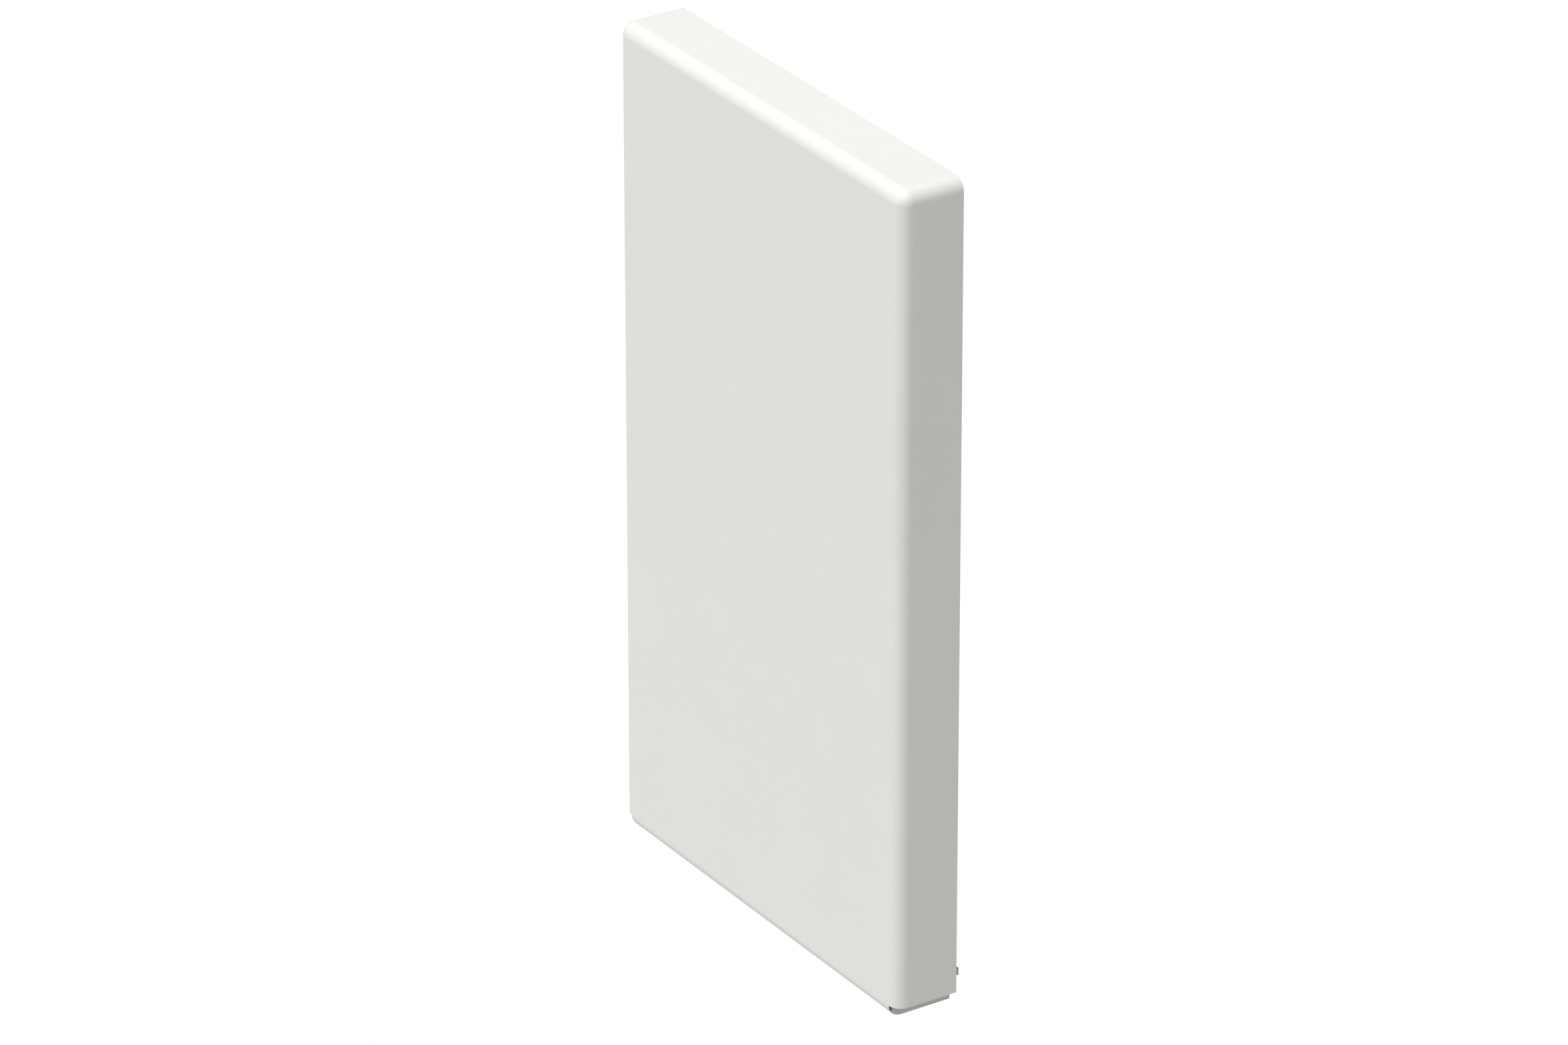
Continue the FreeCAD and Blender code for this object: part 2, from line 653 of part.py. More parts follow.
def row_plates(top):
    """Copper plates on one row's terminals: three links and a plate at each end."""
    front = "(cells_front + cell_depth / 2 - plate_edge)"
    depth = "cell_depth + cell_gap + 2 * plate_edge"
    plates = []
    for column in range(1, 4):
        joint = f"({column} * (cell_width + cell_gap) - cells_span / 2 - cell_gap / 2)"
        half = "(cell_width / 4 + cell_gap / 2 + plate_edge)"
        plates.append(box(f"{joint} - {half}", front, top, f"2 * {half}", depth, "busbar_thickness"))
    for side in SIDES:
        middle = f"({side} * (end_terminal - plate_edge))"
        plates.append(box(f"{middle} - 2 * plate_edge", front, top, "4 * plate_edge", depth,
                          "busbar_thickness"))
    return plates


def riser(x, low, top):
    """A copper strip in front of the cells with a foot back to a plate at each end."""
    left = f"{x} - bar_width / 2"
    strip = box(left, "bar_front", low, "bar_width", "busbar_thickness", f"{top} - {low} + busbar_thickness")
    feet = [box(left, "bar_front", height, "bar_width", "foot_length", "busbar_thickness")
            for height in (low, top)]
    return fuse([strip] + feet)


def terminal_top(number, row):
    return f"({module_start(number)} + {row} * row_pitch + cell_height + terminal_height)"


def make_module(number, name):
    """Sixteen prismatic cells in two rows and two layers, clamped between end plates."""
    low = module_start(number)
    left = "(-cells_span / 2)"
    outer = "(cells_span / 2 + end_plate)"
    bolt_x = "(cells_span / 2 + end_plate / 2)"
    bolt_rows = [f"({low} + bolt_margin)", f"({low} + frame_height - bolt_margin)"]
    bolts = [(f"{side} * {bolt_x}", height) for side in SIDES for height in bolt_rows]
    holes = [rod(x, 0, height, "bolt_radius + hole_gap", "wall_gap + cover_depth") for x, height in bolts]
    base = box(f"-{outer}", "cells_back", low, f"2 * {outer}", "base_plate", "frame_height")
    part(f"{name}_module_base", cut(base, holes))
    plates = [box(f"{side} * {bolt_x} - end_plate / 2", "cells_front", low, "end_plate", "cells_depth",
                  "frame_height") for side in SIDES]
    part(f"{name}_end_plates", cut(group(plates), holes))
    part(f"{name}_module_bolts", group([
        screw(x, "cells_front", height, "front", "bolt_radius", "cells_depth + base_plate",
              "bolt_head")
        for x, height in bolts]))
    cells = []
    terminals = []
    for row in range(2):
        height = f"{low} + {row} * row_pitch"
        for column in range(4):
            x = f"{left} + {column} * (cell_width + cell_gap)"
            for layer in range(2):
                y = f"cells_back - cell_depth - {layer} * (cell_depth + cell_gap)"
                cells.append(box(x, y, height, "cell_width", "cell_depth", "cell_height"))
                for share in (0.25, 0.75):
                    spot = (f"{x} + {share} * cell_width", f"{y} + cell_depth / 2", f"{height} + cell_height")
                    terminals.append(rod(*spot, "terminal_radius", "terminal_height", "up"))
    part(f"{name}_cells", group(cells))
    part(f"{name}_cell_terminals", group(terminals))
    sheets = [box(left, "cells_back - cell_depth - cell_gap", f"{low} + {row} * row_pitch", "cells_span",
                  "cell_gap", "cell_height") for row in range(2)]
    part(f"{name}_separators", group(sheets))
    tops = [terminal_top(number, row) for row in range(2)]
    bars = row_plates(tops[0]) + row_plates(tops[1])
    part(f"{name}_busbars", group(bars + [riser("end_terminal", *tops)]))
    strap_y = "cells_front - strap_sheet"
    straps = [box(f"-{outer}", strap_y, f"{low} + {row} * row_pitch + cell_height / 2 - strap_width / 2",
                  f"2 * {outer}", "strap_sheet", "strap_width") for row in range(2)]
    part(f"{name}_straps", group(straps))
    board_low = f"{low} + cell_height / 2 - strap_width / 2"
    board = box("-sense_width / 2", f"{strap_y} - board_sheet", board_low, "sense_width", "board_sheet",
                "row_pitch + strap_width")
    part(f"{name}_sense_board", board)


def make_pack_bars():
    """Copper between the modules and down to the wiring bay."""
    part("module_link", riser("-end_terminal", terminal_top(0, 1), terminal_top(1, 0)))
    low = "contactor_height"
    x = "(-end_terminal - bar_width / 2)"
    top = terminal_top(0, 0)
    strip = box(x, "bar_front", f"{low} + bar_width / 2", "bar_width", "busbar_thickness",
                f"{top} - {low} - bar_width / 2 + busbar_thickness")
    foot = box(x, "bar_front", top, "bar_width", "foot_length", "busbar_thickness")
    part("negative_busbar", fuse([strip, foot]))
    x = "(fuse_x - bar_width / 2)"
    top = terminal_top(1, 1)
    low = "(fuse_top + blade_root)"
    strip = box(x, "bar_front", low, "bar_width", "busbar_thickness", f"{top} - {low} + busbar_thickness")
    ends = [box(x, "bar_front", top, "bar_width", "foot_length", "busbar_thickness")]
    reach = "plate_front - fuse_base - busbar_thickness - bar_front"
    ends.append(box(x, "bar_front", low, "bar_width", reach, "busbar_thickness"))
    part("positive_busbar", fuse([strip] + ends))


def make_fuse():
    face = "(plate_front - fuse_base)"
    part("fuse_holder", box("fuse_x - bar_width", face, "fuse_height", "2 * bar_width", "fuse_base",
                            "fuse_length + 2 * fuse_margin"))
    body = rod("fuse_x", f"{face} - fuse_radius", "fuse_low", "fuse_radius", "fuse_length", "up")
    blades = [box("fuse_x - bar_width / 2", f"{face} - busbar_thickness", height, "bar_width",
                  "busbar_thickness", "blade_length")
              for height in ("fuse_low + blade_root - blade_length", "fuse_top - blade_root")]
    part("main_fuse", fuse([body] + blades))


def make_contactors():
    drums = []
    posts = []
    for number in range(2):
        x = f"(-end_terminal + {number} * contactor_pitch)"
        drums.append(rod(x, "plate_front", "contactor_height", "contactor_radius", "contactor_length"))
        face = "plate_front - contactor_length"
        reach = f"{face} - bar_front - busbar_thickness"
        for side in SIDES:
            posts.append(rod(x, face, f"contactor_height + {side} * bar_width", "terminal_radius", reach))
    part("main_contactors", group(drums))
    part("contactor_posts", group(posts))
    shunt = box("-end_terminal - bar_width / 2", "bar_front", "contactor_height - bar_width - bar_width / 2",
                "contactor_pitch + bar_width", "busbar_thickness", "bar_width")
    part("current_shunt", shunt)


# Pieces on the control board: left edge, lower edge, width, depth, height. The edges are
# measured from the board's own left and lower edges.
BOARD_PIECES = {
    "lower relay": (12, "12", 40, 16, 16),
    "upper relay": (12, "32", 40, 16, 16),
    "terminal strip": (62, "12", 60, 12, 14),
    "transformer": (12, "board_height - 42", 28, 20, 28),
    "processor": (60, "board_height - 36", 18, 3, 18),
    "radio module": (96, "board_height - 44", 28, 9, 30),
}
CAPACITORS = {"count": 3, "left": 72, "low": 42, "pitch": 18, "radius": 7, "length": 18}
FINS = 14


def make_control_board():
    """Control board on spacers, with its pieces and heat sink."""
    spots = [(f"board_left + board_corner + {across} * (board_width - 2 * board_corner)",
              f"board_low + board_corner + {up} * (board_height - 2 * board_corner)")
             for across in (0, 1) for up in (0, 1)]
    part("board_spacers", group([rod(x, "plate_front", height, "spacer_radius", "spacer_height")
                                 for x, height in spots]))
    front = "(plate_front - spacer_height - board_sheet)"
    part("control_board", box("board_left", front, "board_low", "board_width", "board_sheet", "board_height"))
    pieces = []
    for left, low, across, deep, tall in BOARD_PIECES.values():
        spot = (f"board_left + {left}", f"{front} - {deep}", f"board_low + {low}")
        pieces.append(box(*spot, across, deep, tall))
    for number in range(CAPACITORS["count"]):
        x = f"board_left + {CAPACITORS['left']} + {number} * {CAPACITORS['pitch']}"
        pieces.append(rod(x, front, f"board_low + {CAPACITORS['low']}", CAPACITORS["radius"],
                          CAPACITORS["length"]))
    part("board_components", group(pieces))
    low = "board_low + sink_margin"
    tall = "board_height - 2 * sink_margin"
    plate = box("sink_left", f"{front} - sink_plate", low, "sink_width", "sink_plate", tall)
    fins = []
    for number in range(FINS):
        x = f"sink_left + {number} * (sink_width - fin_sheet) / {FINS - 1}"
        fins.append(box(x, f"{front} - sink_plate - fin_height", low, "fin_sheet", "fin_height + 1", tall))
    part("heat_sink", fuse([plate] + fins))


def make_terminals():
    """Block for the outgoing power leads above the glands."""
    x = "(gland_x - gland_pitch / 2)"
    body = box(x, "plate_front - block_depth", "block_low", "3 * gland_pitch", "block_depth", "block_height")
    pockets = [box(f"{x} + {number} * gland_pitch + block_wall", "plate_front - block_depth - 1",
                   "block_low + block_wall", "gland_pitch - 2 * block_wall", "block_depth / 2",
                   "block_height - 2 * block_wall") for number in range(3)]
    middle = "block_low + block_height / 2"
    seats = [f"{x} + ({number} + 0.5) * gland_pitch" for number in range(3)]
    holes = [rod(seat, "plate_front", middle, "screw_radius + hole_gap", "block_depth") for seat in seats]
    part("lead_terminals", cut(cut(body, pockets), holes))
    face = "plate_front - block_depth / 2 - 1"
    clamps = [screw(seat, face, middle, "front", "screw_radius", "clamp_length",
                    "clamp_head") for seat in seats]
    part("terminal_screws", group(clamps))


def ring_nut(x, radius, bore):
    """A flat nut on the case floor, inside."""
    nut = rod(x, "bottom_row", "floor_top", radius, "collar", "up")
    return cut(nut, [rod(x, "bottom_row", "case_floor", bore, "8 * case_wall", "up")])


def make_glands():
    """Cable glands through the case floor, their nuts and their blanking plugs."""
    glands = []
    nuts = []
    plugs = []
    outer = "gland_thread + rim"
    for number in range(3):
        x = f"gland_x + {number} * gland_pitch"
        flange = rod(x, "bottom_row", "case_floor", outer, "gland_flange", "down")
        dome = cone(x, "bottom_row", "case_floor - gland_flange", f"{outer} - 1", "gland_bore + 3",
                    "gland_drop - gland_flange", "down")
        thread = rod(x, "bottom_row", "case_floor", "gland_thread", "gland_rise", "up")
        bore = rod(x, "bottom_row", "case_floor - 2 * gland_drop", "gland_bore", "3 * gland_drop", "up")
        glands.append(cut(fuse([flange, dome, thread]), [bore]))
        nuts.append(ring_nut(x, outer, "gland_thread + hole_gap"))
        stem = rod(x, "bottom_row", "case_floor - gland_drop", "gland_bore - hole_gap",
                   "gland_drop + plug_rise", "up")
        head = rod(x, "bottom_row", "case_floor - gland_drop", "gland_bore + plug_head", "plug_head", "down")
        plugs.append(fuse([stem, head]))
    part("cable_glands", group(glands))
    part("gland_nuts", group(nuts))
    part("gland_plugs", group(plugs))


def make_underside():
    """Ground stud and pressure vent in the case floor."""
    stud = rod("ground_x", "bottom_row", "case_floor - ground_drop", "ground_radius",
               "ground_drop + ground_rise", "up")
    collars = [rod("ground_x", "bottom_row", "case_floor", "ground_radius * 2", "collar", "down")]
    collars.append(rod("ground_x", "bottom_row", "floor_top", "ground_radius * 2", "collar", "up"))
    part("ground_stud", fuse([stud] + collars))
    cap = rod("vent_x", "bottom_row", "case_floor", "vent_radius + rim", "vent_cap", "down")
    stem = rod("vent_x", "bottom_row", "case_floor", "vent_radius", "case_wall + 2 * vent_cap", "up")
    nut = rod("vent_x", "bottom_row", "floor_top", "vent_radius + rim", "vent_cap", "up")
    part("pressure_vent", fuse([cap, stem, nut]))


def make_knob(top):
    """Disc with a bar grip across it, the grip's lower edges rounded."""
    disc = rod("isolator_x", "bottom_row", top, "knob_radius", "knob_height * 0.3", "down")
    grip = box("isolator_x - knob_radius * 0.9", "bottom_row - knob_radius / 4", f"{top} - knob_height",
               "knob_radius * 1.8", "knob_radius / 2", "knob_height")
    shape = doc.addObject("Part::Fillet", "KnobEdges")
    shape.Base = fuse([disc, grip])
    doc.recompute()
    low = shape.Base.Shape.BoundBox.ZMin
    edges = []
    for number, edge in enumerate(shape.Base.Shape.Edges, start=1):
        if near(edge.BoundBox.ZMin, low):
            edges.append((number, sheet.grip_round, sheet.grip_round))
    shape.Edges = edges
    return shape


def make_isolator():
    """Rotary isolator: switch body inside the case, shaft through its floor, knob below."""
    body = box("isolator_x - switch_width / 2", "bottom_row - switch_depth / 2", "floor_top", "switch_width",
               "switch_depth", "switch_height")
    hole = rod("isolator_x", "bottom_row", "case_floor", "shaft_radius + running_gap",
               "case_wall + shaft_reach", "up")
    part("isolator_switch", cut(body, [hole]))
    top = "(case_floor - running_gap)"
    start = f"{top} - knob_height / 2"
    socket = rod("isolator_x", "bottom_row", start, "shaft_radius + shaft_fit", "knob_height", "up")
    part("isolator_knob", cut(make_knob(top), [socket]))
    length = "knob_height / 2 + running_gap + case_wall + shaft_reach - shaft_spare"
    part("isolator_shaft", rod("isolator_x", "bottom_row", start, "shaft_radius", length, "up"))


def make_button():
    """Power button: a plunger in a threaded barrel held by a nut."""
    flange = rod("button_x", "bottom_row", "case_floor", "barrel_radius + barrel_flange", "barrel_flange",
                 "down")
    barrel = rod("button_x", "bottom_row", "case_floor", "barrel_radius", "barrel_length", "up")
    nut = rod("button_x", "bottom_row", "floor_top", "barrel_radius + rim", "collar", "up")
    bore = rod("button_x", "bottom_row", "case_floor - 2 * barrel_flange", "button_radius + running_gap",
               "barrel_length + 3 * barrel_flange", "up")
    part("button_barrel", cut(fuse([flange, barrel, nut]), [bore]))
    part("power_button", rod("button_x", "bottom_row", "case_floor - barrel_flange - button_travel",
                             "button_radius", "barrel_length + barrel_flange", "up"))


def check_and_write():
    """Refuse a failed object or an empty, invalid or missing shape, then write the files."""
    doc.recompute()
    for item in doc.Objects:
        if "Invalid" in item.State or "Error" in item.State:
            raise RuntimeError(f"{item.Name} failed: {item.State}")
    for item in PARTS:
        if item.Shape.isNull() or not item.Shape.isValid() or not item.Shape.Solids:
            raise RuntimeError(f"{item.Label} has no valid solid")
    os.makedirs("parts", exist_ok=True)
    for item in PARTS:
        item.Shape.exportStep(f"parts/{item.Label}.step")
        print(item.Label, len(item.Shape.Solids), "solids", round(item.Shape.Volume / 1000, 1), "cm3")


make_wall_rail()
make_lower_bar()
make_hooks()
make_back_plate()
make_case()
make_wiring_cover()
make_cover()
make_studs()
make_module(0, "lower")
make_module(1, "upper")
make_fuse()
make_pack_bars()
make_contactors()
make_control_board()
make_terminals()
make_glands()
make_underside()
make_isolator()
make_button()
check_and_write()
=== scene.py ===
import json
import math

import bmesh
import bpy
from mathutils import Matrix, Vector


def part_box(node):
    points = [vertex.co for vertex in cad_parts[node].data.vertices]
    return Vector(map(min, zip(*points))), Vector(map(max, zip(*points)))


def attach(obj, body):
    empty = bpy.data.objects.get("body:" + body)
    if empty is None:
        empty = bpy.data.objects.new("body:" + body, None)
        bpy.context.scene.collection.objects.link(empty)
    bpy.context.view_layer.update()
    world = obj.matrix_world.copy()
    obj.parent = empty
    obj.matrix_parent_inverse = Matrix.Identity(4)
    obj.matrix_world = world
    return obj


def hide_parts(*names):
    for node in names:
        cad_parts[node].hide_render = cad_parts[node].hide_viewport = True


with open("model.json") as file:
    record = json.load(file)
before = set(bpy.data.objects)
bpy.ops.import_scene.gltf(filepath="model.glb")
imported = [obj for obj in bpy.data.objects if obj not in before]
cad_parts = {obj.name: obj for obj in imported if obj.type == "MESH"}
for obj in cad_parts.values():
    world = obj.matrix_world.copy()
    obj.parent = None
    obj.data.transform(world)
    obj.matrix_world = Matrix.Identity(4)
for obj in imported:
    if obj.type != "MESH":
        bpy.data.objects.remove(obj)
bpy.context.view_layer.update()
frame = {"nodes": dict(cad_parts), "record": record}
nodes = frame["nodes"]
record = frame["record"]


# ---------------------------------------------------------------- materials

def linear(red, green, blue):
    """Colour from 8-bit display values."""
    def channel(value):
        share = value / 255
        return share / 12.92 if share <= 0.04045 else ((share + 0.055) / 1.055) ** 2.4
    return (channel(red), channel(green), channel(blue), 1.0)


class Graph:
    """A material's node tree with short calls for what every finish here needs."""

    def __init__(self, name):
        self.material = bpy.data.materials.new(name)
        self.material.use_nodes = True
        self.tree = self.material.node_tree
        self.shader = self.tree.nodes["Principled BSDF"]
        self.place = self.tree.nodes.new("ShaderNodeTexCoord").outputs["Object"]

    def node(self, kind, **values):
        made = self.tree.nodes.new(kind)
        for key, value in values.items():
            setattr(made, key, value)
        return made

    def link(self, start, end):
        self.tree.links.new(start, end)

    def noise(self, scale, detail=3.0, stretch=(1, 1, 1)):
        """Noise with a scale in cycles per metre; stretch draws it out along an axis."""
        mapping = self.node("ShaderNodeMapping")
        mapping.inputs["Scale"].default_value = stretch
        self.link(self.place, mapping.inputs["Vector"])
        made = self.node("ShaderNodeTexNoise")
        made.inputs["Scale"].default_value = scale
        made.inputs["Detail"].default_value = detail
        self.link(mapping.outputs["Vector"], made.inputs["Vector"])
        return made.outputs["Fac"]

    def ramp(self, source, start, end, low=0.3, high=0.7):
        """Map source from low..high to start..end, which are numbers or colours."""
        made = self.node("ShaderNodeValToRGB")
        made.color_ramp.elements[0].position = low
        made.color_ramp.elements[1].position = high
        for element, value in zip(made.color_ramp.elements, (start, end)):
            element.color = value if hasattr(value, "__len__") else (value, value, value, 1)
        self.link(source, made.inputs["Fac"])
        return made.outputs["Color"]

    def colour(self, source):
        self.link(source, self.shader.inputs["Base Color"])

    def roughness(self, source):
        self.link(source, self.shader.inputs["Roughness"])

    def bump(self, source, depth, strength=1.0, after=None):
        """Raise the surface by up to depth metres where source is 1."""
        made = self.node("ShaderNodeBump")
        made.inputs["Distance"].default_value = depth
        made.inputs["Strength"].default_value = strength
        self.link(source, made.inputs["Height"])
        if after is not None:
            self.link(after, made.inputs["Normal"])
        self.link(made.outputs["Normal"], self.shader.inputs["Normal"])
        return made.outputs["Normal"]

    def shade(self, **values):
        names = {"metallic": "Metallic", "specular": "Specular IOR Level", "coat": "Coat Weight",
                 "coat_roughness": "Coat Roughness", "anisotropic": "Anisotropic"}
        for key, value in values.items():
            self.shader.inputs[names[key]].default_value = value


def tint(colour, factor):
    """The colour made lighter or darker."""
    return tuple(min(1.0, part * factor) for part in colour[:3]) + (1.0,)


def powder_coat(name, colour, peel=0.00002, gloss=0.42):
    """Satin powder coat: fine orange peel, faint mottling in colour and gloss."""
    graph = Graph(name)
    mottle = graph.noise(9, 4)
    graph.colour(graph.ramp(mottle, tint(colour, 0.993), tint(colour, 1.004)))
    sheen = graph.noise(60, 2)
    graph.roughness(graph.ramp(sheen, gloss - 0.04, gloss + 0.05))
    fine = graph.bump(graph.noise(2600, 2), peel * 0.25)
    graph.bump(graph.noise(520, 3), peel, after=fine)
    graph.shade(specular=0.35)
    return graph.material


def brushed_metal(name, colour, along=(1, 60, 60), rough=0.34):
    """Metal with fine grain along one axis and slight clouding."""
    graph = Graph(name)
    grain = graph.noise(55, 4, along)
    cloud = graph.noise(14, 3)
    graph.colour(graph.ramp(cloud, tint(colour, 0.86), tint(colour, 1.05), 0.25, 0.75))
    graph.roughness(graph.ramp(grain, rough - 0.07, rough + 0.1))
    graph.bump(grain, 0.00002, 0.6)
    graph.shade(metallic=1.0)
    return graph.material


def zinc_plate(name, colour):
    """Zinc plated steel with its faint spangle."""
    graph = Graph(name)
    cells = graph.node("ShaderNodeTexVoronoi")
    cells.inputs["Scale"].default_value = 160
    graph.link(graph.place, cells.inputs["Vector"])
    graph.colour(graph.ramp(cells.outputs["Distance"], tint(colour, 0.9), tint(colour, 1.08), 0.0))
    graph.roughness(graph.ramp(graph.noise(90, 3), 0.3, 0.46))
    graph.bump(graph.noise(700, 2), 0.00001)
    graph.shade(metallic=0.9)
    return graph.material


def moulded_plastic(name, colour, rough=0.5, grain=0.00003):
    """Moulded plastic with a fine spark-eroded texture."""
    graph = Graph(name)
    graph.colour(graph.ramp(graph.noise(25, 3), tint(colour, 0.92), tint(colour, 1.08)))
    graph.roughness(graph.ramp(graph.noise(200, 2), rough - 0.06, rough + 0.08))
    graph.bump(graph.noise(1800, 2), grain)
    graph.shade(specular=0.4)
    return graph.material


def foam_rubber(name, colour):
    """Closed-cell rubber with fine pores."""
    graph = Graph(name)
    pores = graph.noise(900, 4)
    graph.colour(graph.ramp(pores, tint(colour, 0.6), tint(colour, 1.3), 0.35, 0.65))
    graph.roughness(graph.ramp(pores, 0.75, 0.95))
    graph.bump(pores, 0.0001)
    return graph.material


def circuit_board(name, colour):
    """Solder mask over faint copper tracks."""
    graph = Graph(name)
    tracks = graph.node("ShaderNodeTexBrick")
    tracks.inputs["Scale"].default_value = 70
    tracks.inputs["Mortar Size"].default_value = 0.06
    tracks.inputs["Color1"].default_value = colour
    tracks.inputs["Color2"].default_value = tint(colour, 1.25)
    tracks.inputs["Mortar"].default_value = tint(colour, 1.9)
    upright = graph.node("ShaderNodeMapping")
    upright.inputs["Rotation"].default_value = (math.radians(90), 0, 0)
    graph.link(graph.place, upright.inputs["Vector"])
    graph.link(upright.outputs["Vector"], tracks.inputs["Vector"])
    graph.colour(tracks.outputs["Color"])
    graph.roughness(graph.ramp(graph.noise(120, 2), 0.24, 0.4))
    graph.bump(tracks.outputs["Fac"], 0.00005)
    graph.shade(coat=0.4, coat_roughness=0.15)
    return graph.material


def cell_film(name, colour):
    """Aluminium cell cans in a glossy insulating film."""
    graph = Graph(name)
    graph.colour(graph.ramp(graph.noise(12, 4), tint(colour, 0.85), tint(colour, 1.15)))
    graph.roughness(graph.ramp(graph.noise(80, 3), 0.2, 0.38))
    graph.bump(graph.noise(40, 3), 0.0003, 0.5)
    graph.shade(coat=0.5, coat_roughness=0.2)
    return graph.material


WHITE = linear(218, 219, 214)
FINISHES = {
    "cover_paint": powder_coat("white_powder_coat", WHITE),
    "case_paint": powder_coat("grey_powder_coat", linear(186, 186, 184), 0.00003, 0.5),
    "zinc_steel": zinc_plate("zinc_plate", linear(178, 180, 182)),
    "cell_can": cell_film("cell_film", linear(58, 112, 168)),
    "module_metal": brushed_metal("milled_aluminium", linear(205, 207, 210)),
    "copper_bar": brushed_metal("bare_copper", linear(206, 128, 92), (60, 60, 1), 0.3),
    "seal_rubber": foam_rubber("foam_rubber", linear(34, 34, 34)),
    "black_plastic": moulded_plastic("black_plastic", linear(38, 38, 39)),
    "pale_plastic": moulded_plastic("pale_plastic", linear(222, 219, 208)),
    "circuit_board": circuit_board("solder_mask", linear(20, 96, 48)),
    "knob_plastic": moulded_plastic("red_plastic", linear(186, 30, 24), 0.35),
    "grey_plastic": moulded_plastic("grey_plastic", linear(176, 176, 176), 0.4),
}


def dress_nodes():
    """Give every CAD node the finish of its slot."""
    for row in record["subparts"]:
        mesh = nodes[row["node"]].data
        mesh.materials.clear()
        mesh.materials.append(FINISHES[row["material_slot"]])


# ---------------------------------------------------------------- detailed pieces

MM = 0.001
WELD = 1e-6
UP = Vector((0, 0, 1))
DOWN = Vector((0, 0, -1))
FRONT = Vector((0, -1, 0))
BACK = Vector((0, 1, 0))


def separate_solids(mesh):
    """The vertices of each separate solid of a mesh, as one list for each."""
    seen = set()
    for first in mesh.verts:
        if first in seen:
            continue
        seen.add(first)
        waiting = [first]
        solid = []
        while waiting:
            vert = waiting.pop()
            solid.append(vert)
            for edge in vert.link_edges:
                other = edge.other_vert(vert)
                if other not in seen:
                    seen.add(other)
                    waiting.append(other)
        yield solid


def solid_boxes(node):
    """The lowest and highest corner of each separate solid of a CAD node."""
    mesh = bmesh.new()
    mesh.from_mesh(nodes[node].data)
    bmesh.ops.remove_doubles(mesh, verts=mesh.verts, dist=WELD)
    boxes = []
    for solid in separate_solids(mesh):
        corners = [Vector([pick(vert.co[axis] for vert in solid) for axis in range(3)])
                   for pick in (min, max)]
        boxes.append(corners)
    mesh.free()
    return boxes


def round_shape(angle):
    """A plain circle."""
    return 1.0


def hex_shape(angle):
    """Six flats whose corners reach the full radius."""
    sixth = math.radians(60)
    return math.cos(sixth / 2) / math.cos(angle % sixth - sixth / 2)


def fluted(count, depth):
    """Shallow grooves round a rim; depth is their share of the radius."""
    def shape(angle):
        return 1.0 - depth * (0.5 - 0.5 * math.cos(count * angle)) ** 3
    return shape


def make_ring(mesh, place, radius, height, shape, sides):
    """A loop of vertices about the local Z axis, or one vertex where the radius is 0."""
    if radius == 0:
        return [mesh.verts.new(place(Vector((0, 0, height))))]
    ring = []
    for step in range(sides):
        angle = 2 * math.pi * step / sides
        reach = radius * shape(angle)
        spot = Vector((reach * math.cos(angle), reach * math.sin(angle), height))
        ring.append(mesh.verts.new(place(spot)))
    return ring


def join_rings(mesh, lower, upper):
    """Faces between two loops; either may be a single tip."""
    sides = max(len(lower), len(upper))
    for step in range(sides):
        ahead = (step + 1) % sides
        if len(lower) == 1:
            corners = (lower[0], upper[step], upper[ahead])
        elif len(upper) == 1:
            corners = (lower[step], lower[ahead], upper[0])
        else:
            corners = (lower[step], lower[ahead], upper[ahead], upper[step])
        mesh.faces.new(corners)


def turned(mesh, start, toward, rows, sides=72):
    """Revolve rows of (radius, height) or (radius, height, shape) about a line from start.

    A first or last radius of 0 is a tip. Without tips the rows close on themselves, as for a
    piece with a bore.
    """
    turn = toward.to_track_quat("Z", "Y").to_matrix()

    def place(spot):
        return start + turn @ spot

    rings = []
    for radius, height, *shape in rows:
        rings.append(make_ring(mesh, place, radius, height, shape[0] if shape else round_shape, sides))
    if len(rings[0]) > 1 and len(rings[-1]) > 1:
        rings.append(rings[0])
    for lower, upper in zip(rings, rings[1:]):
        join_rings(mesh, lower, upper)


def body_of(node):
    """The body that a CAD node belongs to."""
    return next(body for body, names in record["behaviour"]["bodies"].items() if node in names)


def slot_of(node):
    """The material slot of a CAD node."""
    return next(row["material_slot"] for row in record["subparts"] if row["node"] == node)


def finish_piece(mesh, name, node, crease=32):
    """Turn a mesh into an object that stands for a CAD node, on its body and in its slot."""
    bmesh.ops.recalc_face_normals(mesh, faces=mesh.faces)
    data = bpy.data.meshes.new(name)
    mesh.to_mesh(data)
    mesh.free()
    data.shade_smooth()
    data.set_sharp_from_angle(angle=math.radians(crease))
    piece = bpy.data.objects.new(name, data)
    bpy.context.scene.collection.objects.link(piece)
    data.materials.append(FINISHES[slot_of(node)])
    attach(piece, body_of(node))
    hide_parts(node)


def build_round_pieces(name, node, toward, make_rows):
    """One object for a node of alike solids: rows are made from each solid's radius and length."""
    mesh = bmesh.new()
    along = 2 if toward.z else 1
    for low, high in solid_boxes(node):
        start = (low + high) / 2
        start[along] = low[along] if toward[along] > 0 else high[along]
        turned(mesh, start, toward, make_rows((high.x - low.x) / 2, high[along] - low[along]))
    finish_piece(mesh, name, node)


def scaled(radius, profile, shape=round_shape):
    """Rows from pairs of (share of the radius, height in millimetres)."""
    return [(radius * share, height * MM, shape) for share, height in profile]


def ridges(start, pitch, count, *turn_rows):
    """Thread ridges from start on; each turn repeats pairs of (radius, share of the pitch)."""
    return [(radius, start + pitch * (turn + share)) for turn in range(count) for radius, share in turn_rows]


